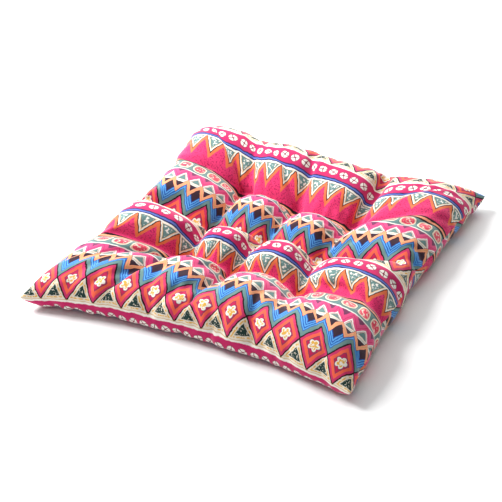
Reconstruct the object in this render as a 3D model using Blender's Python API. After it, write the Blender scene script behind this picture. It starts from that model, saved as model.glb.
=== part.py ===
"""Square tufted chair pad, one filled solid.

Units are metres and +Z is up. The origin is on the floor under the middle of the pad. The front
edge faces -Y. The pad lies on its bottom panel, which is flat wherever a puff touches the floor.
"""
import math

import bpy
import bmesh

# Overall size
CORNER_TO_CORNER = 0.385
SEAM_AT_CORNER = 0.013
SEAM_AT_MIDDLE = 0.022

# How far the middle of each side is drawn in from the line between its corners
DRAWN_IN = {"left": 0.028, "right": 0.009, "front": 0.021, "back": 0.015}
# The seam is drawn in this much further where a channel runs out to it
CREASE_PULL = 0.006
# Powers of the side's curve, of how its pull fades inwards, and of how its corners drop
SIDE_CURVE = 2.4
PULL_FADE = 3
CORNER_DROP = 4

# Tuft rows and columns, as marked on the flat panels, in parts of a side
TUFT_LINES = (0.275, 0.5, 0.725)
# Places of the tufts once filled: columns left, middle, right, from the back row to the front row
TUFTS = (
    ((-0.070, 0.088), (0.005, 0.077), (0.082, 0.069)),
    ((-0.072, 0.003), (0.001, 0.006), (0.076, -0.005)),
    ((-0.063, -0.068), (-0.005, -0.066), (0.083, -0.069)),
)
TUFT_TOP = 0.015
TUFT_UNDERSIDE = 0.011
# A tuft moves the cloth round it, over this part of half a side
TUFT_REACH = 0.33
TUFT_HOLD = 0.82

# Height of each puff: four columns from left to right, from the back row to the front row
PUFF_HEIGHTS = (
    (0.062, 0.058, 0.048, 0.048),
    (0.054, 0.042, 0.041, 0.049),
    (0.062, 0.045, 0.049, 0.054),
    (0.053, 0.056, 0.057, 0.052),
)
CHANNEL_OVER_TUFT = 0.003
CHANNEL_UNDERSIDE = 0.007
# The underside is pressed flat up to this height
PRESSED_FLAT = 0.0015
# What is left of each channel on the side roll: its first, middle and last one from the left
# or from the front
CREASES = {
    "left": (0.45, 0.90, 0.35),
    "right": (0.45, 0.80, 0.25),
    "front": (0.40, 0.55, 0.45),
    "back": (0.40, 0.15, 0.90),
}
CREASE_WIDTH = 0.07
# A crease has its share of depth this far in from the seam, in parts of the outer puff
CREASE_RUN_IN = 0.45
# Power by which a channel deepens from the side towards the tufts
CHANNEL_FADE = 2.6

# Shape of the rolls: how far in from the seam they are full, in parts of the outer puff, for the
# four puffs along each side from the left or from the front
TOP_ROLL_REACH = {
    "left": (0.42, 0.42, 0.42, 0.42),
    "right": (0.42, 0.42, 0.42, 0.50),
    "front": (0.54, 0.54, 0.36, 0.40),
    "back": (0.42, 0.42, 0.45, 0.60),
}
UNDERSIDE_ROLL_REACH = 0.22
UNDERSIDE_BULGE = 0.012
# Powers of a puff's cross-section down to its channels: the lower, the flatter its crown
OUTER_CROWN = 0.50
INNER_CROWN = 0.85

# Mesh: strips across an outer puff and an inner puff
OUTER_STRIPS = 13
INNER_STRIPS = 11
SEAM_CROWDING = 1.3

CLOTH_COLOR = (0.66, 0.10, 0.22, 1.0)
CLOTH_ROUGHNESS = 0.85


def clear_scene():
    """Remove every object of the open file."""
    for old in list(bpy.data.objects):
        bpy.data.objects.remove(old, do_unlink=True)


def puff_at(t):
    """Number of the puff at t along a side, and how far across it t lies."""
    stops = (0.0, *TUFT_LINES, 1.0)
    number = sum(t >= line for line in TUFT_LINES)
    return number, (t - stops[number]) / (stops[number + 1] - stops[number])


def valley(t):
    """1 on a tuft line, 0 on the crown of a puff and from the last crown out to the seam."""
    number, across = puff_at(t)
    if number == len(TUFT_LINES):
        across = 1.0 - across
    is_outer = number in (0, len(TUFT_LINES))
    if is_outer and across < 0.5:
        return 0.0
    return 1.0 - math.sin(math.pi * across) ** (OUTER_CROWN if is_outer else INNER_CROWN)


def swell(t, reach):
    """0 at the seams, then a quarter round up to 1 where the side roll is full."""
    inward = min(t, 1.0 - t) / (TUFT_LINES[0] * reach)
    inward = min(max(inward, 0.0), 1.0)
    return math.sqrt(1.0 - (1.0 - inward) ** 2)


def bow(t):
    """0 at the two corners of a side and 1 at its middle."""
    return 1.0 - abs(2.0 * t - 1.0) ** SIDE_CURVE


def puff_blend(t):
    """Puff before t, and the smooth share of the next one."""
    number, across = puff_at(t)
    place = number + across - 0.5
    before = min(max(int(math.floor(place)), 0), len(TUFT_LINES) - 1)
    share = min(max(place - before, 0.0), 1.0)
    return before, share * share * (3.0 - 2.0 * share)


def roll_reach(t, along, low_side, high_side):
    """Reach of the side roll nearest to t, blended between the puffs along that side."""
    before, share = puff_blend(along)
    reaches = TOP_ROLL_REACH[low_side if t < 0.5 else high_side]
    return reaches[before] * (1.0 - share) + reaches[before + 1] * share


def puff_height(u, v):
    """Height of the crown over (u, v), blended between neighbouring puffs."""
    column, right_share = puff_blend(u)
    row, back_share = puff_blend(v)
    rows_from_front = PUFF_HEIGHTS[::-1]
    heights = []
    for line in (rows_from_front[row], rows_from_front[row + 1]):
        heights.append(line[column] * (1.0 - right_share) + line[column + 1] * right_share)
    return heights[0] * (1.0 - back_share) + heights[1] * back_share


def crease_at(across, side):
    """Depth left of the channel nearest to across where it meets a side."""
    distances = [abs(across - line) for line in TUFT_LINES]
    return CREASES[side][distances.index(min(distances))]


def channel_share(along, across, low_side, high_side):
    """Share of a channel's depth at along: whole between the tufts, less over the side rolls."""
    inward = min(along, 1.0 - along) / TUFT_LINES[0]
    if inward >= 1.0:
        return 1.0
    kept = crease_at(across, low_side if along < 0.5 else high_side)
    whole = inward ** CHANNEL_FADE
    return kept * min(inward / CREASE_RUN_IN, 1.0) * (1.0 - whole) + whole


def seam_pull(along, side):
    """How far the seam of a side lies in from the line between its corners."""
    pull = DRAWN_IN[side] * bow(along)
    for line, depth in zip(TUFT_LINES, CREASES[side]):
        pull += CREASE_PULL * depth * math.exp(-((along - line) / CREASE_WIDTH) ** 2)
    return pull


def plan(u, v):
    """Place on the floor plan of the point at (u, v) of the flat panel."""
    half = CORNER_TO_CORNER / 2.0
    a, b = 2.0 * u - 1.0, 2.0 * v - 1.0
    pull_x = seam_pull(v, "left") if a < 0.0 else -seam_pull(v, "right")
    pull_y = seam_pull(u, "front") if b < 0.0 else -seam_pull(u, "back")
    x = half * a + pull_x * abs(a) ** PULL_FADE
    y = half * b + pull_y * abs(b) ** PULL_FADE
    for row, line_v in zip(TUFTS, reversed(TUFT_LINES)):
        for (tuft_x, tuft_y), line_u in zip(row, TUFT_LINES):
            tuft_a, tuft_b = 2.0 * line_u - 1.0, 2.0 * line_v - 1.0
            distance = math.hypot(a - tuft_a, b - tuft_b) / TUFT_REACH
            hold = TUFT_HOLD * math.exp(-distance ** 2)
            x += (tuft_x - half * tuft_a) * hold
            y += (tuft_y - half * tuft_b) * hold
    return x, y


def seam_height(u, v):
    """Height of the seam beside (u, v): lowest at the corners."""
    a, b = abs(2.0 * u - 1.0), abs(2.0 * v - 1.0)
    lifted = 1.0 - min(a, b) ** CORNER_DROP
    return SEAM_AT_CORNER + (SEAM_AT_MIDDLE - SEAM_AT_CORNER) * lifted


def channel_and_tuft(u, v):
    """Depth of the channels at (u, v), and of the tufts, from 0 to 1."""
    down_u = valley(u) * channel_share(v, u, "front", "back")
    down_v = valley(v) * channel_share(u, v, "left", "right")
    return 1.0 - (1.0 - down_u) * (1.0 - down_v), valley(u) * valley(v)


def top_point(u, v):
    """Point of the top panel."""
    x, y = plan(u, v)
    seam = seam_height(u, v)
    crown = puff_height(u, v)
    channel, tuft = channel_and_tuft(u, v)
    sunk = (crown - TUFT_TOP - CHANNEL_OVER_TUFT) * channel + CHANNEL_OVER_TUFT * tuft
    fill = swell(u, roll_reach(u, v, "left", "right")) * swell(v, roll_reach(v, u, "front", "back"))
    return x, y, seam + (crown - seam - sunk) * fill


def bulge(t):
    """How far the underside stands out past the seam at the sides that t runs between."""
    inward = min(t, 1.0 - t) / (TUFT_LINES[0] * UNDERSIDE_ROLL_REACH * 2.0)
    outward = UNDERSIDE_BULGE * math.sin(math.pi * min(inward, 1.0))
    return -outward if t < 0.5 else outward


def bottom_point(u, v):
    """Point of the bottom panel, flat on the floor under each puff."""
    x, y = plan(u, v)
    channel, tuft = channel_and_tuft(u, v)
    x += bulge(u) * bow(v) * (1.0 - channel)
    y += bulge(v) * bow(u) * (1.0 - channel)
    lifted = CHANNEL_UNDERSIDE * channel + (TUFT_UNDERSIDE - CHANNEL_UNDERSIDE) * tuft
    fill = swell(u, UNDERSIDE_ROLL_REACH) * swell(v, UNDERSIDE_ROLL_REACH)
    return x, y, seam_height(u, v) * (1.0 - fill) + max(0.0, lifted - PRESSED_FLAT) * fill


def stations():
    """Grid lines along a side, closer together towards the seams."""
    outer = TUFT_LINES[0]
    near = [outer * (k / OUTER_STRIPS) ** SEAM_CROWDING for k in range(OUTER_STRIPS)]
    inner_width = (1.0 - 2.0 * outer) / 2.0
    middle = [outer + inner_width * k / INNER_STRIPS for k in range(2 * INNER_STRIPS + 1)]
    far = [1.0 - t for t in reversed(near)]
    return near + middle + far


def add_cloth_material(pad):
    """Give the pad its one printed cotton."""
    material = bpy.data.materials.new("printed_cotton")
    material.use_nodes = True
    shader = material.node_tree.nodes["Principled BSDF"]
    shader.inputs["Base Color"].default_value = CLOTH_COLOR
    shader.inputs["Roughness"].default_value = CLOTH_ROUGHNESS
    shader.inputs["Metallic"].default_value = 0.0
    pad.data.materials.append(material)


def add_panel(mesh, lines, point, sewn_to, faces_up):
    """Add one panel's grid of faces, sharing its rim with the panel that it is sewn to."""
    last = len(lines) - 1
    verts = {}
    for j, v in enumerate(lines):
        for i, u in enumerate(lines):
            on_rim = i in (0, last) or j in (0, last)
            if on_rim and sewn_to:
                verts[i, j] = sewn_to[i, j]
            else:
                verts[i, j] = mesh.verts.new(point(u, v))
    for j in range(last):
        for i in range(last):
            a, b, c, d = verts[i, j], verts[i + 1, j], verts[i + 1, j + 1], verts[i, j + 1]
            # Each cut runs out towards a corner of the pad, so that the pad's tips stay closed
            cut_at_a = (i < last / 2) == (j < last / 2)
            triangles = ((a, b, c), (a, c, d)) if cut_at_a else ((a, b, d), (b, c, d))
            for triangle in triangles:
                mesh.faces.new(triangle if faces_up else triangle[::-1])
    return verts


def make_pad():
    """Sew the two panels together at the rim as one closed solid."""
    lines = stations()
    mesh = bmesh.new()
    top = add_panel(mesh, lines, top_point, None, faces_up=True)
    add_panel(mesh, lines, bottom_point, top, faces_up=False)
    data = bpy.data.meshes.new("pad")
    mesh.to_mesh(data)
    mesh.free()
    data.shade_smooth()
    pad = bpy.data.objects.new("pad", data)
    bpy.context.scene.collection.objects.link(pad)
    add_cloth_material(pad)
    return pad


clear_scene()
make_pad()
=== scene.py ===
"""Tufted chair pad in band-printed cotton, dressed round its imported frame.

Units are metres and +Z is up. The pad lies on its bottom panel with its front edge facing -Y and
the printed bands running along X. Print sizes are in millimetres on the flat cloth.
"""
import math
import random

import bpy
import numpy as np
from mathutils import Matrix, Vector


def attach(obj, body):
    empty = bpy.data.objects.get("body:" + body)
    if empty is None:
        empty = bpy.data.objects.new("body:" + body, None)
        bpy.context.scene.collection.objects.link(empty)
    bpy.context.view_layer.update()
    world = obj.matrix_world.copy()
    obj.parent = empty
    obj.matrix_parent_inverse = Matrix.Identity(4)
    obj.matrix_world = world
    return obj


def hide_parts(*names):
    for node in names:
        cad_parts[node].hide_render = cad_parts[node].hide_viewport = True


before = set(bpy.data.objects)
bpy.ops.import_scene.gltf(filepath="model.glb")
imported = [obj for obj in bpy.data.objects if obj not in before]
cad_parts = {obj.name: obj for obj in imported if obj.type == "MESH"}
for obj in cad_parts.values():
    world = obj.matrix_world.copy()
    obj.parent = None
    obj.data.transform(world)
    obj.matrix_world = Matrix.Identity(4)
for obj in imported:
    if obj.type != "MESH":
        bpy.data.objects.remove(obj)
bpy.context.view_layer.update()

# Camera of the photograph
CAMERA_PLACE = (0.5696, -1.0264, 0.7936)
CAMERA_TARGET = (-0.0021, -0.0214, 0.020)
CAMERA_ROLL = math.radians(-3.61)
CAMERA_LENS = 91.06

# Filled pad
CORNER_TO_CORNER = 0.385
SEAM_AT_CORNER = 0.013
SEAM_AT_MIDDLE = 0.022
DRAWN_IN = {"left": 0.028, "right": 0.009, "front": 0.021, "back": 0.015}
CREASE_PULL = 0.006
SIDE_CURVE = 2.4
PULL_FADE = 3
CORNER_DROP = 4
TUFT_LINES = (0.275, 0.5, 0.725)
TUFTS = (
    ((-0.070, 0.088), (0.005, 0.077), (0.082, 0.069)),
    ((-0.072, 0.003), (0.001, 0.006), (0.076, -0.005)),
    ((-0.063, -0.068), (-0.005, -0.066), (0.083, -0.069)),
)
TUFT_TOP = 0.015
TUFT_UNDERSIDE = 0.011
TUFT_REACH = 0.33
TUFT_HOLD = 0.82
PUFF_HEIGHTS = (
    (0.062, 0.058, 0.048, 0.048),
    (0.054, 0.042, 0.041, 0.049),
    (0.062, 0.045, 0.049, 0.054),
    (0.053, 0.056, 0.057, 0.052),
)
CHANNEL_OVER_TUFT = 0.003
CHANNEL_UNDERSIDE = 0.007
PRESSED_FLAT = 0.0015
CREASES = {
    "left": (0.45, 0.90, 0.35),
    "right": (0.45, 0.80, 0.25),
    "front": (0.40, 0.55, 0.45),
    "back": (0.40, 0.15, 0.90),
}
CREASE_WIDTH = 0.07
CREASE_RUN_IN = 0.45
CHANNEL_FADE = 2.6
TOP_ROLL_REACH = {
    "left": (0.42, 0.42, 0.42, 0.42),
    "right": (0.42, 0.42, 0.42, 0.50),
    "front": (0.54, 0.54, 0.36, 0.40),
    "back": (0.42, 0.42, 0.45, 0.60),
}
UNDERSIDE_ROLL_REACH = 0.22
UNDERSIDE_BULGE = 0.012
OUTER_CROWN = 0.50
INNER_CROWN = 0.85

# Creases in the top panel: where each is deepest and where it ends, in parts of a side, and depth
CREASE_LINES = (
    ((0.280, 0.735), (0.195, 0.870), 0.010),
    ((0.715, 0.735), (0.700, 1.300), 0.009),
    ((0.500, 0.240), (0.640, -0.200), 0.008),
    ((0.670, 0.150), (0.700, -0.150), 0.007),
    ((0.345, 0.150), (0.400, -0.200), 0.005),
    ((0.820, 0.300), (1.150, 0.250), 0.009),
    ((0.608, 0.000), (0.595, 0.110), 0.006),
    ((0.695, 0.000), (0.680, 0.100), 0.006),
    ((0.388, 0.000), (0.360, 0.100), 0.004),
)
CREASE_HALF_WIDTH = 0.010
# Small puckers: how many round each tuft and along each side, their lengths and depths
TUFT_PUCKERS = 6
TUFT_PUCKER_LENGTH = 0.085
TUFT_PUCKER_DEPTH = 0.0040
SEAM_PUCKERS = 9
SEAM_PUCKER_LENGTH = 0.060
SEAM_PUCKER_DEPTH = 0.0030
PUCKER_SEED = 5
# Least share of the gap between the panels that the creases leave at the tufts
GAP_LEFT = 0.4

# Flat cloth panel, and where the tufts are marked on it
PANEL = 0.404
CLOTH_TUFT_LINES = (0.284, 0.5, 0.716)
STRIPS = 110
FINE_STEPS = 700
SPREAD_ROUNDS = 2
# Cloth gathered in the channel behind the front puffs, in parts of a side: how much, where the
# gather starts and ends, and where the print is back in its place
GATHER = 0.020
GATHER_START, GATHER_END = 0.270, 0.298
GATHER_LEVEL, GATHER_GONE = 0.440, 0.520

# Cloth simulation
FILLED_FRAME = 8
LOOSENED_FRAME = 10
LAST_FRAME = 22
PANEL_GAP = 0.004
GAP_RISE = 12.0
PRESSURE = 2.5
LOOSE_HOLD = 0.004
NOISE_PASSES = 2
DRIFT_PASSES = 30
WRINKLE_SHARE = 2.4
WRINKLE_CAP = 0.007
CHANNEL_HOLD = 0.7
SEAM_FREEDOM = 0.4
FREE_FROM_SEAM = 0.06

# Places of the panels on the baking map, each a start and a length: both along u, each along v
BAKE_U = (0.005, 0.99)
BAKE_TOP_V = (0.435, 0.56)
BAKE_BOTTOM_V = (0.005, 0.42)

# Blur of the print's edges, in millimetres
LINE_BLUR = 0.6

# Studio: each light's name, place, size and power
LIGHTS = (
    ("key", (-1.05, 0.05, 0.95), 0.8, 45.0),
    ("back", (-0.1, 1.1, 0.8), 0.9, 14.0),
)
WORLD_STRENGTH = 0.38
FLOOR_HALF = 4.0
FLOOR_COLOR = (0.86, 0.86, 0.86, 1.0)


def ramp(value, start, end):
    """Smooth rise from 0 at the start to 1 at the end."""
    share = np.clip((value - start) / (end - start), 0.0, 1.0)
    return share * share * (3.0 - 2.0 * share)


def puff_at(t):
    """Number of the puff at t along a side, and how far across it t lies."""
    stops = np.array((0.0, *TUFT_LINES, 1.0))
    number = np.searchsorted(TUFT_LINES, t, side="right")
    return number, (t - stops[number]) / (stops[number + 1] - stops[number])


def valley(t):
    """1 on a tuft line, 0 on the crown of a puff and from the last crown out to the seam."""
    number, across = puff_at(t)
    across = np.where(number == len(TUFT_LINES), 1.0 - across, across)
    is_outer = (number == 0) | (number == len(TUFT_LINES))
    flatness = np.where(is_outer, OUTER_CROWN, INNER_CROWN)
    depth = 1.0 - np.sin(np.pi * np.clip(across, 0.0, 1.0)) ** flatness
    return np.where(is_outer & (across < 0.5), 0.0, depth)


def swell(t, reach):
    """0 at the seams, then a quarter round up to 1 where the side roll is full."""
    inward = np.minimum(t, 1.0 - t) / (TUFT_LINES[0] * reach)
    inward = np.clip(inward, 0.0, 1.0)
    return np.sqrt(1.0 - (1.0 - inward) ** 2)


def roll_reach(t, along, low_side, high_side):
    """Reach of the side roll nearest to t, blended between the puffs along that side."""
    before, share = puff_blend(along)
    low, high = np.array(TOP_ROLL_REACH[low_side]), np.array(TOP_ROLL_REACH[high_side])
    low = low[before] * (1.0 - share) + low[before + 1] * share
    high = high[before] * (1.0 - share) + high[before + 1] * share
    return np.where(t < 0.5, low, high)


def bow(t):
    """0 at the two corners of a side and 1 at its middle."""
    return 1.0 - np.abs(2.0 * t - 1.0) ** SIDE_CURVE


def puff_blend(t):
    """Puff before t, and the smooth share of the next one."""
    number, across = puff_at(t)
    place = number + across - 0.5
    before = np.clip(np.floor(place).astype(int), 0, len(TUFT_LINES) - 1)
    return before, ramp(place - before, 0.0, 1.0)


def puff_height(u, v):
    """Height of the crown over (u, v), blended between neighbouring puffs."""
    column, right_share = puff_blend(u)
    row, back_share = puff_blend(v)
    heights = np.array(PUFF_HEIGHTS[::-1])
    front = heights[row, column] * (1.0 - right_share) + heights[row, column + 1] * right_share
    back = heights[row + 1, column] * (1.0 - right_share) + heights[row + 1, column + 1] * right_share
    return front * (1.0 - back_share) + back * back_share


def crease_at(across, side):
    """Depth left of the channel nearest to across where it meets a side."""
    distances = np.abs(across[..., None] - np.array(TUFT_LINES))
    return np.array(CREASES[side])[np.argmin(distances, axis=-1)]


def channel_share(along, across, low_side, high_side):
    """Share of a channel's depth at along: whole between the tufts, less over the side rolls."""
    inward = np.minimum(along, 1.0 - along) / TUFT_LINES[0]
    kept = np.where(along < 0.5, crease_at(across, low_side), crease_at(across, high_side))
    whole = np.minimum(inward, 1.0) ** CHANNEL_FADE
    return kept * np.minimum(inward / CREASE_RUN_IN, 1.0) * (1.0 - whole) + whole


def seam_pull(along, side):
    """How far the seam of a side lies in from the line between its corners."""
    pull = DRAWN_IN[side] * bow(along)
    for line, depth in zip(TUFT_LINES, CREASES[side]):
        pull = pull + CREASE_PULL * depth * np.exp(-((along - line) / CREASE_WIDTH) ** 2)
    return pull


def plan(u, v):
    """Place on the floor plan of the point at (u, v) of the form."""
    half = CORNER_TO_CORNER / 2.0
    a, b = 2.0 * u - 1.0, 2.0 * v - 1.0
    pull_x = np.where(a < 0.0, seam_pull(v, "left"), -seam_pull(v, "right"))
    pull_y = np.where(b < 0.0, seam_pull(u, "front"), -seam_pull(u, "back"))
    x = half * a + pull_x * np.abs(a) ** PULL_FADE
    y = half * b + pull_y * np.abs(b) ** PULL_FADE
    for row, line_v in zip(TUFTS, reversed(TUFT_LINES)):
        for (tuft_x, tuft_y), line_u in zip(row, TUFT_LINES):
            tuft_a, tuft_b = 2.0 * line_u - 1.0, 2.0 * line_v - 1.0
            distance = np.hypot(a - tuft_a, b - tuft_b) / TUFT_REACH
            hold = TUFT_HOLD * np.exp(-distance ** 2)
            x = x + (tuft_x - half * tuft_a) * hold
            y = y + (tuft_y - half * tuft_b) * hold
    return x, y


def seam_height(u, v):
    """Height of the seam beside (u, v): lowest at the corners."""
    a, b = np.abs(2.0 * u - 1.0), np.abs(2.0 * v - 1.0)
    lifted = 1.0 - np.minimum(a, b) ** CORNER_DROP
    return SEAM_AT_CORNER + (SEAM_AT_MIDDLE - SEAM_AT_CORNER) * lifted


def channel_and_tuft(u, v):
    """Depth of the channels at (u, v), and of the tufts, from 0 to 1."""
    down_u = valley(u) * channel_share(v, u, "front", "back")
    down_v = valley(v) * channel_share(u, v, "left", "right")
    return 1.0 - (1.0 - down_u) * (1.0 - down_v), valley(u) * valley(v)


def top_form(u, v):
    """Points of the top panel."""
    x, y = plan(u, v)
    seam = seam_height(u, v)
    crown = puff_height(u, v)
    channel, tuft = channel_and_tuft(u, v)
    sunk = (crown - TUFT_TOP - CHANNEL_OVER_TUFT) * channel + CHANNEL_OVER_TUFT * tuft
    fill = swell(u, roll_reach(u, v, "left", "right")) * swell(v, roll_reach(v, u, "front", "back"))
    return np.stack((x, y, seam + (crown - seam - sunk) * fill), axis=-1)


def bulge(t):
    """How far the underside stands out past the seam at the sides that t runs between."""
    inward = np.minimum(t, 1.0 - t) / (TUFT_LINES[0] * UNDERSIDE_ROLL_REACH * 2.0)
    outward = UNDERSIDE_BULGE * np.sin(np.pi * np.minimum(inward, 1.0))
    return np.where(t < 0.5, -outward, outward)


def bottom_form(u, v):
    """Points of the bottom panel, flat on the floor under each puff."""
    x, y = plan(u, v)
    channel, tuft = channel_and_tuft(u, v)
    x = x + bulge(u) * bow(v) * (1.0 - channel)
    y = y + bulge(v) * bow(u) * (1.0 - channel)
    lifted = CHANNEL_UNDERSIDE * channel + (TUFT_UNDERSIDE - CHANNEL_UNDERSIDE) * tuft
    fill = swell(u, UNDERSIDE_ROLL_REACH) * swell(v, UNDERSIDE_ROLL_REACH)
    z = seam_height(u, v) * (1.0 - fill) + np.maximum(0.0, lifted - PRESSED_FLAT) * fill
    return np.stack((x, y, z), axis=-1)


def even_line(point, line_u, line_v, cloth):
    """Form coordinates along one thread of the cloth, evenly spaced over the form between tufts."""
    fine = np.linspace(0.0, 1.0, FINE_STEPS + 1)
    fine_u = np.interp(fine, cloth, line_u)
    fine_v = np.interp(fine, cloth, line_v)
    steps = np.linalg.norm(np.diff(point(fine_u, fine_v), axis=0), axis=1)
    length = np.concatenate(((0.0,), np.cumsum(steps)))
    stops = np.array((0.0, *CLOTH_TUFT_LINES, 1.0))
    length_at_stops = np.interp(stops, fine, length)
    wanted = np.interp(cloth, stops, length_at_stops)
    place = np.interp(wanted, length, fine)
    return np.interp(place, fine, fine_u), np.interp(place, fine, fine_v)


def even_panel(point, cloth):
    """Form coordinates of a panel's square grid of threads, spread evenly over its form."""
    start = np.interp(cloth, (0.0, *CLOTH_TUFT_LINES, 1.0), (0.0, *TUFT_LINES, 1.0))
    form_u, form_v = np.meshgrid(start, start)
    for _ in range(SPREAD_ROUNDS):
        for k in range(len(cloth)):
            form_u[k], _across = even_line(point, form_u[k], form_v[k], cloth)
        for k in range(len(cloth)):
            _across, form_v[:, k] = even_line(point, form_u[:, k], form_v[:, k], cloth)
    return form_u, form_v


def tuft_puckers(chance):
    """Short creases that run out from each tuft."""
    lines = []
    for line_u in TUFT_LINES:
        for line_v in TUFT_LINES:
            turn = chance.uniform(0.0, 2.0 * math.pi)
            for k in range(TUFT_PUCKERS):
                angle = turn + (k + chance.uniform(-0.3, 0.3)) * 2.0 * math.pi / TUFT_PUCKERS
                length = TUFT_PUCKER_LENGTH * chance.uniform(0.6, 1.2)
                end = (line_u + length * math.cos(angle), line_v + length * math.sin(angle))
                lines.append(((line_u, line_v), end, TUFT_PUCKER_DEPTH * chance.uniform(0.5, 1.2)))
    return lines


def seam_puckers(chance):
    """Short creases that run in from the seam."""
    lines = []
    for side in range(4):
        for k in range(SEAM_PUCKERS):
            along = (k + 1.0 + chance.uniform(-0.35, 0.35)) / (SEAM_PUCKERS + 1.0)
            end = along + chance.uniform(-0.02, 0.02)
            length = SEAM_PUCKER_LENGTH * chance.uniform(0.6, 1.3)
            rim, inner = (0.0, length) if side < 2 else (1.0, 1.0 - length)
            start, stop = ((along, rim), (end, inner)) if side % 2 else ((rim, along), (inner, end))
            lines.append((start, stop, SEAM_PUCKER_DEPTH * chance.uniform(0.4, 1.2)))
    return lines


def crease_depth(form_u, form_v, lines):
    """Depth of the creases: sharp across, and fading from the deep end to the other."""
    depth = np.zeros_like(form_u)
    for (start_u, start_v), (end_u, end_v), deep in lines:
        run_u, run_v = end_u - start_u, end_v - start_v
        along = ((form_u - start_u) * run_u + (form_v - start_v) * run_v) / (run_u ** 2 + run_v ** 2)
        along = np.clip(along, 0.0, 1.0)
        away = np.hypot(form_u - start_u - along * run_u, form_v - start_v - along * run_v)
        depth += deep * (1.0 - along) * np.exp(-away / CREASE_HALF_WIDTH)
    return depth


def crease_shift(points, form_u, form_v, lines):
    """Shift that presses the creases into a panel's grid of points, square to the cloth."""
    normal = np.cross(np.gradient(points, axis=1), np.gradient(points, axis=0))
    normal /= np.maximum(np.linalg.norm(normal, axis=-1, keepdims=True), 1e-12)
    return -normal * crease_depth(form_u, form_v, lines)[..., None]


def kept_apart(pressed, points, top, bottom):
    """The pressed points, with the top panel held over the bottom one away from the seams."""
    edge = round(STRIPS * CLOTH_TUFT_LINES[0] / 2.0)
    upper, lower = top[edge:-edge, edge:-edge], bottom[edge:-edge, edge:-edge]
    gap = points[upper, 2] - points[lower, 2]
    pressed[upper, 2] = np.maximum(pressed[upper, 2], points[lower, 2] + GAP_LEFT * gap)
    return pressed


def looseness(form_u, form_v):
    """How freely the cloth wrinkles: 1 on a crown, less in the channels and along the seams."""
    channel, _tuft = channel_and_tuft(form_u, form_v)
    inward = np.minimum(np.minimum(form_u, 1.0 - form_u), np.minimum(form_v, 1.0 - form_v))
    off_seam = np.minimum(inward / FREE_FROM_SEAM, 1.0)
    return (1.0 - CHANNEL_HOLD * channel) * (SEAM_FREEDOM + (1.0 - SEAM_FREEDOM) * off_seam)


def panel_numbers(strips):
    """Vertex numbers of the top and bottom grids, which share their rim."""
    count = strips + 1
    top = np.arange(count * count).reshape(count, count)
    bottom = top.copy()
    inner = (count - 2) * (count - 2)
    bottom[1:-1, 1:-1] = count * count + np.arange(inner).reshape(count - 2, count - 2)
    return top, bottom


def panel_faces(top, bottom):
    """Four-sided faces of both panels, all facing out."""
    def quads(grid):
        return np.stack((grid[:-1, :-1], grid[:-1, 1:], grid[1:, 1:], grid[1:, :-1]), axis=-1)
    upper = quads(top).reshape(-1, 4)
    lower = quads(bottom).reshape(-1, 4)[:, ::-1]
    return np.concatenate((upper, lower))


def by_vertex(top, bottom, top_values, bottom_values):
    """One value for each vertex, the rim taken from the top panel."""
    values = np.zeros((bottom.max() + 1, top_values.shape[-1]))
    values[bottom] = bottom_values
    values[top] = top_values
    return values


def add_uv_map(data, name, corners):
    """Add a UV map from one (u, v) pair for each face corner."""
    layer = data.uv_layers.new(name=name)
    layer.data.foreach_set("uv", corners.astype(np.float32).ravel())


def gathered(v):
    """How far the gather moves the print forward at v."""
    return GATHER * ramp(v, GATHER_START, GATHER_END) * (1.0 - ramp(v, GATHER_LEVEL, GATHER_GONE))


def placed(t, span):
    """Place of t on a span of the baking map."""
    start, length = span
    return start + length * t


def corner_maps(faces, top, bottom, u, v):
    """Cloth coordinates in metres and baking coordinates of each face corner."""
    panel_u = by_vertex(top, bottom, u[..., None], u[..., None])[:, 0]
    panel_v = by_vertex(top, bottom, v[..., None], v[..., None])[:, 0]
    face_u, face_v = panel_u[faces], panel_v[faces]
    is_top = (np.arange(len(faces)) < len(faces) // 2)[:, None]
    # The print runs on round the front seam, so it runs backwards on the bottom panel
    cloth_v = np.where(is_top, face_v + gathered(face_v), -face_v)
    cloth = np.stack((face_u * PANEL, cloth_v * PANEL), axis=-1)
    baked_u = placed(face_u, BAKE_U)
    baked_v = np.where(is_top, placed(face_v, BAKE_TOP_V), placed(face_v, BAKE_BOTTOM_V))
    return cloth, np.stack((baked_u, baked_v), axis=-1)


def smoothed(values, grids, passes):
    """Values on the pad's vertices, averaged with their neighbours this many times."""
    edges = np.concatenate([np.concatenate((
        np.stack((grid[:, :-1], grid[:, 1:]), axis=-1).reshape(-1, 2),
        np.stack((grid[:-1], grid[1:]), axis=-1).reshape(-1, 2))) for grid in grids])
    count = np.bincount(edges.ravel(), minlength=len(values))[:, None]
    for _ in range(passes):
        total = np.zeros_like(values)
        np.add.at(total, edges[:, 0], values[edges[:, 1]])
        np.add.at(total, edges[:, 1], values[edges[:, 0]])
        values = 0.5 * values + 0.5 * total / count
    return values


def tuft_vertices(top, bottom):
    """Vertex numbers of the tufts on both panels."""
    places = [round(line * STRIPS) for line in CLOTH_TUFT_LINES]
    return [int(grid[row, column]) for grid in (top, bottom) for row in places for column in places]


def cloth_settings(cloth):
    """Soft cotton under the pressure of its filling."""
    settings = cloth.settings
    settings.vertex_group_mass = "hold"
    settings.quality = 6
    settings.mass = 0.2
    settings.tension_stiffness = 30.0
    settings.compression_stiffness = 15.0
    settings.shear_stiffness = 5.0
    settings.bending_stiffness = 0.3
    settings.air_damping = 1.0
    settings.use_pressure = True
    settings.uniform_pressure_force = PRESSURE
    settings.effector_weights.gravity = 0.0
    cloth.collision_settings.use_collision = False
    cloth.collision_settings.use_self_collision = False
    cloth.point_cache.frame_start = 1
    cloth.point_cache.frame_end = LAST_FRAME
    return settings


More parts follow.
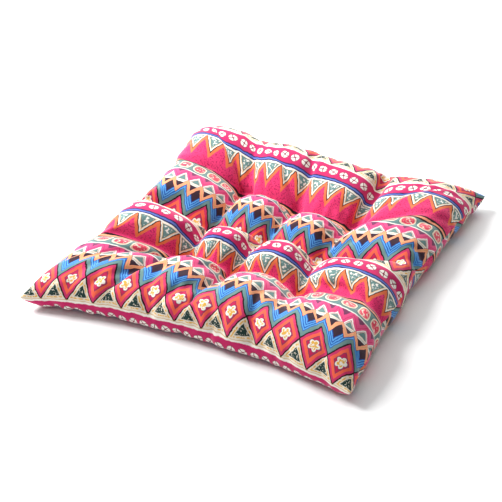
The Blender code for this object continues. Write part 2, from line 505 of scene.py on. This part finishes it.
def simulate(pad, form, tufts):
    """Fill the flat panels to the form, then loosen them so that the spare cloth wrinkles."""
    pad.shape_key_add(name="Basis")
    filled = pad.shape_key_add(name="filled")
    filled.data.foreach_set("co", form.astype(np.float32).ravel())
    filled.value = 0.0
    filled.keyframe_insert("value", frame=1)
    filled.value = 1.0
    filled.keyframe_insert("value", frame=FILLED_FRAME)
    hold = pad.vertex_groups.new(name="hold")
    hold.add(list(range(len(pad.data.vertices))), 0.5, "REPLACE")
    hold.add(tufts, 1.0, "REPLACE")
    settings = cloth_settings(pad.modifiers.new("Cloth", "CLOTH"))
    settings.pin_stiffness = 1.0
    settings.keyframe_insert("pin_stiffness", frame=LOOSENED_FRAME)
    settings.pin_stiffness = LOOSE_HOLD
    settings.keyframe_insert("pin_stiffness", frame=LOOSENED_FRAME + 1)
    scene = bpy.context.scene
    scene.frame_start = 1
    scene.frame_end = LAST_FRAME
    for number in range(1, LAST_FRAME + 1):
        scene.frame_set(number)
    settled = pad.evaluated_get(bpy.context.evaluated_depsgraph_get()).to_mesh()
    points = np.empty(len(settled.vertices) * 3, np.float32)
    settled.vertices.foreach_get("co", points)
    pad.modifiers.clear()
    pad.shape_key_clear()
    pad.animation_data_clear()
    pad.vertex_groups.clear()
    scene.frame_set(1)
    return points.reshape(-1, 3).astype(float)


def wrinkled(points, form, grids, loose):
    """The form with the simulated wrinkles on it: neither the grid's noise nor the large drift."""
    away = points - form
    wrinkles = smoothed(away, grids, NOISE_PASSES) - smoothed(away, grids, DRIFT_PASSES)
    wrinkles = wrinkles * loose * WRINKLE_SHARE
    length = np.linalg.norm(wrinkles, axis=1, keepdims=True)
    capped = WRINKLE_CAP * np.tanh(length / WRINKLE_CAP)
    points = form + wrinkles * capped / np.maximum(length, 1e-9)
    points[:, 2] = np.maximum(points[:, 2], 0.0)
    return points


def subdivided(pad):
    """Apply one Catmull-Clark subdivision with a sharp seam."""
    modifier = pad.modifiers.new("Subdivision", "SUBSURF")
    modifier.levels = 1
    modifier.render_levels = 1
    modifier.uv_smooth = "NONE"
    modifier.boundary_smooth = "PRESERVE_CORNERS"
    fine = bpy.data.meshes.new_from_object(pad.evaluated_get(bpy.context.evaluated_depsgraph_get()))
    pad.modifiers.remove(modifier)
    pad.data = fine


def flat_panels(u, v):
    """Both panels as cut, a little apart inside the rim so that pressure parts them."""
    rim = np.minimum(np.minimum(u, 1.0 - u), np.minimum(v, 1.0 - v))
    gap = PANEL_GAP * np.minimum(1.0, rim * GAP_RISE)
    x, y = (u - 0.5) * PANEL, (v - 0.5) * PANEL
    above, below = SEAM_AT_MIDDLE + gap, SEAM_AT_MIDDLE - gap
    return np.stack((x, y, above), axis=-1), np.stack((x, y, below), axis=-1)


def creased(points, above, top, bottom):
    """The points with the creases and puckers pressed into the top panel."""
    chance = random.Random(PUCKER_SEED)
    lines = [*CREASE_LINES, *tuft_puckers(chance), *seam_puckers(chance)]
    shift = crease_shift(top_form(*above), *above, lines)
    pressed = points + by_vertex(top, bottom, shift, np.zeros_like(shift))
    return kept_apart(pressed, points, top, bottom)


def flat_pad(top, bottom, u, v):
    """Object of both panels as cut, sewn at the rim, with its UV maps."""
    flat = by_vertex(top, bottom, *flat_panels(u, v))
    faces = panel_faces(top, bottom)
    data = bpy.data.meshes.new("pad_cloth")
    data.from_pydata(flat.tolist(), [], faces.tolist())
    cloth_map, bake_map = corner_maps(faces, top, bottom, u, v)
    add_uv_map(data, "OFBake", bake_map)
    add_uv_map(data, "ClothUV", cloth_map)
    pad = bpy.data.objects.new("pad_cloth", data)
    bpy.context.scene.collection.objects.link(pad)
    return pad


def make_pad():
    """Both panels, sewn at the rim and pulled down at the tufts."""
    top, bottom = panel_numbers(STRIPS)
    line = np.linspace(0.0, 1.0, STRIPS + 1)
    u, v = np.meshgrid(line, line)
    above, below = even_panel(top_form, line), even_panel(bottom_form, line)
    form = by_vertex(top, bottom, top_form(*above), bottom_form(*below))
    loose = by_vertex(top, bottom, looseness(*above)[..., None], looseness(*below)[..., None])
    pad = flat_pad(top, bottom, u, v)
    points = form
    simulated = simulate(pad, form, tuft_vertices(top, bottom))
    points = wrinkled(simulated, form, (top, bottom), loose)
    points = creased(points, above, top, bottom)
    pad.data.vertices.foreach_set("co", points.astype(np.float32).ravel())
    pad.data.update()
    subdivided(pad)
    pad.data.shade_smooth()
    return pad


class Value:
    """A number that varies over the cloth, worked out by the material's math nodes."""

    def __init__(self, tree, socket):
        self.tree = tree
        self.socket = socket

    def apply(self, operation, *others, clamp=False):
        """Math node of an operation on this value and others."""
        node = self.tree.nodes.new("ShaderNodeMath")
        node.operation = operation
        node.use_clamp = clamp
        for socket, value in zip(node.inputs, (self, *others)):
            if isinstance(value, Value):
                self.tree.links.new(value.socket, socket)
            else:
                socket.default_value = value
        return Value(self.tree, node.outputs[0])

    def __add__(self, other):
        return self.apply("ADD", other)

    def __sub__(self, other):
        return self.apply("SUBTRACT", other)

    def __mul__(self, other):
        return self.apply("MULTIPLY", other)

    def size(self):
        """Absolute value."""
        return self.apply("ABSOLUTE")

    def least(self, other):
        return self.apply("MINIMUM", other)

    def most(self, other):
        return self.apply("MAXIMUM", other)

    def across(self, pitch, start):
        """Signed distance from the nearest of the places start, start + pitch and so on."""
        return (self - start).apply("WRAP", pitch / 2.0, -pitch / 2.0)

    def past(self, edge, blur=LINE_BLUR):
        """1 where the value is over an edge and 0 under it, blurred over this many millimetres."""
        return self.apply("MULTIPLY_ADD", 1.0 / blur, 0.5 - edge / blur, clamp=True)

    def under(self, edge, blur=LINE_BLUR):
        """1 where the value is under an edge and 0 over it."""
        return self.apply("MULTIPLY_ADD", -1.0 / blur, 0.5 + edge / blur, clamp=True)

    def between(self, low, high, blur=LINE_BLUR):
        """1 where the value lies between two edges."""
        middle, half = (low + high) / 2.0, (high - low) / 2.0
        return (self - middle).size().under(half, blur)


def linear(red, green, blue):
    """Colour for the shader from its usual 0 to 255 parts."""
    def part(value):
        value = value / 255.0
        return value / 12.92 if value <= 0.04045 else ((value + 0.055) / 1.055) ** 2.4
    return part(red), part(green), part(blue), 1.0


# Colours of the print
CREAM = linear(222, 211, 194)
WHITE = linear(230, 225, 216)
HOT_PINK = linear(214, 50, 104)
BAND_PINK = linear(186, 34, 92)
MAGENTA = linear(196, 50, 98)
CRIMSON = linear(184, 30, 78)
CORAL = linear(230, 94, 70)
SALMON = linear(232, 150, 114)
ORANGE = linear(218, 108, 66)
SAGE = linear(98, 130, 128)
DARK_SAGE = linear(32, 56, 52)
SKY = linear(84, 154, 212)
BLUE = linear(24, 72, 156)
PERIWINKLE = linear(84, 104, 178)
NAVY = linear(24, 28, 80)
CHARCOAL = linear(50, 30, 44)
DARK = linear(20, 6, 12)
CRIMSON_INK = linear(120, 6, 50)
GOLD = linear(214, 164, 70)
TAN = linear(196, 156, 96)
PLUM = linear(110, 52, 86)
PALE_PINK = linear(208, 70, 120)
ROSE = linear(206, 64, 86)

# Print chart. Lengths are in millimetres, y from the front seam and x from the left seam. Each list
# of steps or rings says where a colour starts, and a later one is painted over those before it.
REPEAT = 180.0
PRINT_START = 1.5
SLOW_WAVES, SLOW_REACH = 60.0, 2.2
QUICK_WAVES, QUICK_REACH = 240.0, 1.1
SPECKS = 560.0
BLOTCHES = 330.0
SLUBS = 700.0

# Where a noise shows as marks: its edge and the blur of that edge
BROKEN_LINE = (0.46, 0.1)
HEART_MARKS = (0.46, 0.12)
TRIANGLE_MARKS = (0.66, 0.06)
SCRIBBLE_MARKS = (0.60, 0.1)
PEPPER_MARKS = (0.60, 0.08)
HANGING_MARKS = (0.56, 0.08)

# Diamonds: the rings and the flower, and the triangles and Vs between them
DIAMOND_PITCH = 31.9
DIAMOND_START = 28.5
DIAMOND_MIDDLE = 24.6
DIAMOND_HALF_HEIGHT = 22.9
DIAMOND_RING = 13.45
DIAMOND_RINGS = ((1.06, DARK), (0.955, MAGENTA), (0.77, CORAL), (0.53, PLUM), (0.475, CRIMSON))
RING_BLUR = 0.03
PETALS = 5
PETAL_REACH = 2.3
PETAL_RINGS = ((4.5, PLUM), (3.9, WHITE))
FLOWER_HEART = 2.5
TRIANGLE_BASE = 1.6
TRIANGLE_LINE = (2.0, 3.4)
TRIANGLE_FILL = 4.4
TRIANGLE_SPECKS = 4.8
V_BLUE = 4.2
V_LINES = (4.9, 7.1, 9.3)
V_LINE_WIDTH, V_LINE_BLUR = 1.2, 0.5
V_CHARCOAL = 11.4

# Zigzags on both sides of a thin line: the heights of their inner and outer tips
ZIGZAG_PITCH = 15.95
SALMON_TIPS = (51.0, 64.0)
WHITE_TIPS = (76.0, 65.0)
GROUND_START = 48.0
LINE_STEPS = ((62.0, WHITE), (63.2, DARK_SAGE), (63.6, CREAM))
WHITE_SLOPE = -0.62
LINE_TOP = 64.0
INNER_START = 60.0
INNER_STEPS = ((1.9, DARK_SAGE), (2.3, SAGE))
WHITE_STEPS = ((-2.0, PLUM), (-1.2, WHITE), (0.9, PALE_PINK))
SALMON_BAND = (40.0, 68.0)
SALMON_RINGS = ((4.0, DARK), (3.3, SALMON), (0.6, TAN))
CRIMSON_LINE = (4.6, 5.4)
CRIMSON_LINE_START = 66.0
PLUM_SLOPE, PLUM_TIP, PLUM_START = 1.35, 76.0, 70.0
ZIGZAG_END = 82.4

# Medallion band, the lines after it and the plain ground
MEDALLION_PITCH = 17.6
MEDALLION_START = 8.0
MEDALLION_BAND = 83.8
MEDALLION_MIDDLE = 94.6
MEDALLION_HALF_WIDTH, MEDALLION_HALF_HEIGHT = 7.6, 8.4
MEDALLION_POWER = 3.0
MEDALLION_RINGS = ((1.04, DARK_SAGE), (0.98, CREAM), (0.84, GOLD), (0.80, CREAM), (0.76, ROSE))
MEDALLION_SCRIBBLE = 0.66
MEDALLION_BLUR = 0.08
MEDALLION_LOW = 80.0
PLAIN_START = 112.4
PLAIN_STEPS = ((103.6, DARK), (106.4, SALMON), (109.4, DARK), (PLAIN_START, HOT_PINK))
PEPPER_SHARE = 0.6

# Teeth against hanging triangles
TOOTH_PITCH = 22.3
TOOTH_START = 6.0
TOOTH_TIPS = (130.5, 153.5)
TOOTH_SLOPE = 0.44
TOOTH_LOW = 112.0
TOOTH_STEPS = ((-3.4, ORANGE), (-0.4, DARK), (0.6, WHITE), (1.8, GOLD))
HANGING_CREAM, HANGING_CREAM_START = 2.2, 136.0
HANGING_TOP = 154.5
HANGING_STEPS = ((2.5, DARK_SAGE, 136.0), (3.0, SAGE, 137.0))
HANGING_BLUR = 2.0
HANGING_SPECKS, HANGING_SPECKS_START = 3.6, 138.0
TOOTH_END = 153.2

# Lines and the band of small flowers
FLOWER_PITCH = 13.2
FLOWER_START = 5.0
FLOWER_STEPS = ((154.4, NAVY), (156.0, PERIWINKLE), (158.0, NAVY), (159.6, BAND_PINK))
FLOWER_MIDDLE = 168.8
FLOWER_LOW = 155.0
FLOWER_TURN = 0.1
FLOWER_RADIUS = 5.2
FLOWER_WHITE = (1.1, 4.7)
FLOWER_BLUR = 0.8
VEIN, VEIN_BLUR = 0.9, 0.7
LAST_WHITE, FIRST_WHITE = 179.0, 1.0
TAN_LINE = (1.3, 1.9)


class Print:
    """The printed cloth: coordinates on the flat panel, and the colour painted so far."""

    def __init__(self, tree):
        self.tree = tree
        self.color = None
        cloth = tree.nodes.new("ShaderNodeUVMap")
        cloth.uv_map = "ClothUV"
        self.flat = cloth.outputs["UV"]
        slow = self.noise(SLOW_WAVES, 1.0)
        quick = self.noise(QUICK_WAVES, 1.0)
        flat_x, flat_y = self.parts(self.flat)
        self.x = flat_x * 1000.0 + self.wobble(slow, 0, SLOW_REACH) + self.wobble(quick, 0, QUICK_REACH)
        y = flat_y * 1000.0 + self.wobble(slow, 1, SLOW_REACH) + self.wobble(quick, 1, QUICK_REACH)
        self.y = (y + PRINT_START).apply("WRAP", REPEAT, 0.0)
        self.speck = self.grain(self.noise(SPECKS, 1.0))
        self.blotch = self.grain(self.noise(BLOTCHES, 2.0))

    def noise(self, scale, detail):
        """Noise over the cloth, this many cells a metre."""
        node = self.tree.nodes.new("ShaderNodeTexNoise")
        node.noise_dimensions = "2D"
        node.inputs["Scale"].default_value = scale
        node.inputs["Detail"].default_value = detail
        self.tree.links.new(self.flat, node.inputs["Vector"])
        return node

    def parts(self, socket):
        """First two parts of a vector or colour."""
        node = self.tree.nodes.new("ShaderNodeSeparateXYZ")
        self.tree.links.new(socket, node.inputs[0])
        return Value(self.tree, node.outputs[0]), Value(self.tree, node.outputs[1])

    def wobble(self, noise, part, reach):
        """Shift of a drawn line, up to about this many millimetres in all."""
        return (self.parts(noise.outputs["Color"])[part] - 0.5) * reach

    def grain(self, noise):
        """Noise as a number from 0 to 1."""
        return Value(self.tree, noise.outputs["Fac"])

    def paint(self, mask, color):
        """Paint a colour where the mask is 1."""
        node = self.tree.nodes.new("ShaderNodeMix")
        node.data_type = "RGBA"
        self.tree.links.new(mask.socket, node.inputs["Factor"])
        if isinstance(self.color, tuple):
            node.inputs[6].default_value = self.color
        else:
            self.tree.links.new(self.color, node.inputs[6])
        node.inputs[7].default_value = color
        self.color = node.outputs[2]

    def paint_steps(self, value, steps, within=None):
        """Paint each colour where the value is past its edge, also only within a mask."""
        for edge, color in steps:
            mask = value.past(edge)
            self.paint(mask if within is None else mask * within, color)

    def paint_rings(self, value, rings, blur, within=None):
        """Paint each colour where the value is under its edge, also only within a mask."""
        for edge, color in rings:
            mask = value.under(edge, blur)
            self.paint(mask if within is None else mask * within, color)


def radius_and_turn(x, rise):
    """Distance from a flower's middle, and the angle round it."""
    return (x * x + rise * rise).apply("SQRT"), rise.apply("ARCTAN2", x)


def zigzag(x, pitch, low, high):
    """Height of a zigzag with its tips at the places where x is 0."""
    return x.size() * (-2.0 * (high - low) / pitch) + high


def paint_triangles(cloth, y, off_diamond):
    """Cream triangles between the lower halves of the diamonds."""
    inside = off_diamond.least(y - TRIANGLE_BASE)
    cloth.paint(inside.between(*TRIANGLE_LINE) * cloth.blotch.past(*BROKEN_LINE), GOLD)
    cloth.paint(inside.past(TRIANGLE_FILL), DARK_SAGE)
    cloth.paint(inside.past(TRIANGLE_SPECKS) * cloth.speck.past(*TRIANGLE_MARKS), CREAM)


def paint_valleys(cloth, upper, off_diamond):
    """Sage, blue and charcoal Vs between the upper halves of the diamonds."""
    cloth.paint(upper, SAGE)
    cloth.paint(upper * off_diamond.past(V_BLUE), BLUE)
    for start in V_LINES:
        cloth.paint(upper * off_diamond.between(start, start + V_LINE_WIDTH, V_LINE_BLUR), SKY)
    cloth.paint(upper * off_diamond.past(V_CHARCOAL), CHARCOAL)


def paint_diamonds(cloth, x, y, level):
    """Ringed diamonds with a small flower in each."""
    cloth.paint_rings(level, DIAMOND_RINGS, RING_BLUR)
    radius, turn = radius_and_turn(x, y - DIAMOND_MIDDLE)
    flower = radius - (turn * (PETALS / 2.0)).apply("COSINE").size() * PETAL_REACH
    cloth.paint_rings(flower, PETAL_RINGS, LINE_BLUR)
    cloth.paint(flower.under(FLOWER_HEART) * cloth.blotch.past(*HEART_MARKS), GOLD)


def paint_diamond_band(cloth):
    """Diamonds with the triangles under them and the Vs between them."""
    y = cloth.y
    x = cloth.x.across(DIAMOND_PITCH, DIAMOND_START)
    level = x.size() * (2.0 / DIAMOND_PITCH) + (y - DIAMOND_MIDDLE).size() * (1.0 / DIAMOND_HALF_HEIGHT)
    off_diamond = (level - 1.0) * DIAMOND_RING
    cloth.color = CREAM
    paint_triangles(cloth, y, off_diamond)
    paint_valleys(cloth, y.past(DIAMOND_MIDDLE), off_diamond)
    paint_diamonds(cloth, x, y, level)


def paint_zigzags(cloth):
    """Salmon and white zigzags on both sides of a thin line."""
    y = cloth.y
    x = cloth.x.across(ZIGZAG_PITCH, DIAMOND_START)
    salmon = y - zigzag(x, ZIGZAG_PITCH, *SALMON_TIPS)
    white = y - zigzag(x, ZIGZAG_PITCH, *WHITE_TIPS)
    cloth.paint(salmon.past(0.0) * y.past(GROUND_START), CHARCOAL)
    cloth.paint_steps(y, LINE_STEPS)
    cloth.paint_steps((white * WHITE_SLOPE).least(y - LINE_TOP), INNER_STEPS, y.past(INNER_START))
    cloth.paint_steps(white, WHITE_STEPS, y.past(LINE_TOP))
    start, end = SALMON_BAND
    cloth.paint_rings(salmon.size(), SALMON_RINGS, LINE_BLUR, y.past(start) * y.under(end))
    cloth.paint(white.between(*CRIMSON_LINE) * y.past(CRIMSON_LINE_START), CRIMSON)
    cloth.paint((x.size() * PLUM_SLOPE + PLUM_TIP - y).under(0.0) * y.past(PLUM_START), PLUM)
    cloth.paint(y.past(ZIGZAG_END), WHITE)


def paint_medallions(cloth):
    """Sage band of rounded medallions, then lines and the peppered plain ground."""
    y = cloth.y
    x = cloth.x.across(MEDALLION_PITCH, MEDALLION_START)
    across = (x.size() * (1.0 / MEDALLION_HALF_WIDTH)).apply("POWER", MEDALLION_POWER)
    rise = (y - MEDALLION_MIDDLE).size() * (1.0 / MEDALLION_HALF_HEIGHT)
    shape = (across + rise.apply("POWER", MEDALLION_POWER)).apply("POWER", 1.0 / MEDALLION_POWER)
    band = y.past(MEDALLION_LOW)
    scribble = shape.under(MEDALLION_SCRIBBLE, MEDALLION_BLUR) * cloth.blotch.past(*SCRIBBLE_MARKS)
    cloth.paint(y.past(MEDALLION_BAND), SAGE)
    cloth.paint_rings(shape, MEDALLION_RINGS, MEDALLION_BLUR, band)
    cloth.paint(scribble * band, CREAM)
    cloth.paint_steps(y, PLAIN_STEPS)
    cloth.paint(y.past(PLAIN_START) * cloth.speck.past(*PEPPER_MARKS) * PEPPER_SHARE, CRIMSON_INK)


def paint_teeth(cloth):
    """Hot pink teeth against hanging cream and sage triangles."""
    y = cloth.y
    x = cloth.x.across(TOOTH_PITCH, TOOTH_START)
    over = (y - zigzag(x, TOOTH_PITCH, *TOOTH_TIPS)) * TOOTH_SLOPE
    inside = over.least(y * -1.0 + HANGING_TOP)
    cloth.paint_steps(over, TOOTH_STEPS, y.past(TOOTH_LOW))
    cloth.paint(over.past(HANGING_CREAM) * y.past(HANGING_CREAM_START), CREAM)
    for edge, color, start in HANGING_STEPS:
        cloth.paint(inside.past(edge) * y.past(start, HANGING_BLUR), color)
    specks = y.past(HANGING_SPECKS_START) * cloth.blotch.past(*HANGING_MARKS)
    cloth.paint(inside.past(HANGING_SPECKS) * specks, WHITE)
    cloth.paint(y.past(TOOTH_END), WHITE)


def paint_flower_band(cloth):
    """Blue lines, and the pink band of small four-petalled flowers."""
    y = cloth.y
    x = cloth.x.across(FLOWER_PITCH, FLOWER_START)
    cloth.paint_steps(y, FLOWER_STEPS)
    radius, turn = radius_and_turn(x, y - FLOWER_MIDDLE)
    # Each flower is turned a little further than the one before
    turned = turn * 2.0 + (cloth.x - x) * FLOWER_TURN
    veins = turned.apply("SINE").size() * radius
    band = y.past(FLOWER_LOW)
    petals = radius.between(*FLOWER_WHITE, FLOWER_BLUR) * veins.past(VEIN, VEIN_BLUR)
    cloth.paint(radius.under(FLOWER_RADIUS, FLOWER_BLUR) * band, CRIMSON_INK)
    cloth.paint(petals * band, WHITE)
    cloth.paint(y.past(LAST_WHITE), WHITE)
    cloth.paint(y.under(FIRST_WHITE), WHITE)
    cloth.paint(y.between(*TAN_LINE), TAN)


def add_weave_bump(tree, shader, cloth):
    """Soft slubs in the cloth, as a bump."""
    node = tree.nodes.new("ShaderNodeBump")
    node.inputs["Strength"].default_value = 0.25
    node.inputs["Distance"].default_value = 0.0006
    slubs = cloth.noise(SLUBS, 3.0)
    tree.links.new(slubs.outputs["Fac"], node.inputs["Height"])
    tree.links.new(node.outputs["Normal"], shader.inputs["Normal"])


def printed_cotton():
    """Material of the printed cloth."""
    material = bpy.data.materials.new("printed_cotton_print")
    material.use_nodes = True
    tree = material.node_tree
    shader = tree.nodes["Principled BSDF"]
    cloth = Print(tree)
    paint_diamond_band(cloth)
    paint_zigzags(cloth)
    paint_medallions(cloth)
    paint_teeth(cloth)
    paint_flower_band(cloth)
    tree.links.new(cloth.color, shader.inputs["Base Color"])
    shader.inputs["Roughness"].default_value = 0.85
    shader.inputs["Specular IOR Level"].default_value = 0.15
    shader.inputs["Sheen Weight"].default_value = 0.40
    shader.inputs["Sheen Roughness"].default_value = 0.35
    add_weave_bump(tree, shader, cloth)
    return material


def make_camera():
    """Camera at the photograph's place and angle."""
    place = Vector(CAMERA_PLACE)
    forward = (Vector(CAMERA_TARGET) - place).normalized()
    level = forward.cross(Vector((0.0, 0.0, 1.0))).normalized()
    upright = level.cross(forward)
    right = level * math.cos(CAMERA_ROLL) + upright * math.sin(CAMERA_ROLL)
    up = right.cross(forward)
    data = bpy.data.cameras.new("camera")
    data.lens = CAMERA_LENS
    data.sensor_width = 36.0
    data.clip_end = 20.0
    camera = bpy.data.objects.new("camera", data)
    axes = Matrix((right, up, -forward)).transposed().to_4x4()
    camera.matrix_world = Matrix.Translation(place) @ axes
    bpy.context.scene.collection.objects.link(camera)
    bpy.context.scene.camera = camera


def add_light(name, place, size, power):
    """Square area light that faces the pad."""
    data = bpy.data.lights.new(name, "AREA")
    data.size = size
    data.energy = power
    light = bpy.data.objects.new(name, data)
    light.location = place
    light.rotation_euler = (-Vector(place)).to_track_quat("-Z", "Y").to_euler()
    bpy.context.scene.collection.objects.link(light)


def make_floor():
    """Plain pale floor."""
    data = bpy.data.meshes.new("floor")
    half = FLOOR_HALF
    corners = [(-half, -half, 0), (half, -half, 0), (half, half, 0), (-half, half, 0)]
    data.from_pydata(corners, [], [(0, 1, 2, 3)])
    floor = bpy.data.objects.new("floor", data)
    material = bpy.data.materials.new("pale_floor")
    material.use_nodes = True
    shader = material.node_tree.nodes["Principled BSDF"]
    shader.inputs["Base Color"].default_value = FLOOR_COLOR
    shader.inputs["Roughness"].default_value = 0.9
    data.materials.append(material)
    bpy.context.scene.collection.objects.link(floor)


def make_studio():
    """The floor and soft light from all round."""
    make_floor()
    world = bpy.data.worlds.new("studio")
    world.use_nodes = True
    background = world.node_tree.nodes["Background"]
    background.inputs["Color"].default_value = (1.0, 1.0, 1.0, 1.0)
    background.inputs["Strength"].default_value = WORLD_STRENGTH
    bpy.context.scene.world = world
    bpy.context.scene.view_settings.view_transform = "Standard"
    for light in LIGHTS:
        add_light(*light)


make_camera()
make_studio()
pad = make_pad()
pad.data.materials.append(printed_cotton())
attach(pad, "root")
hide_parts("pad")
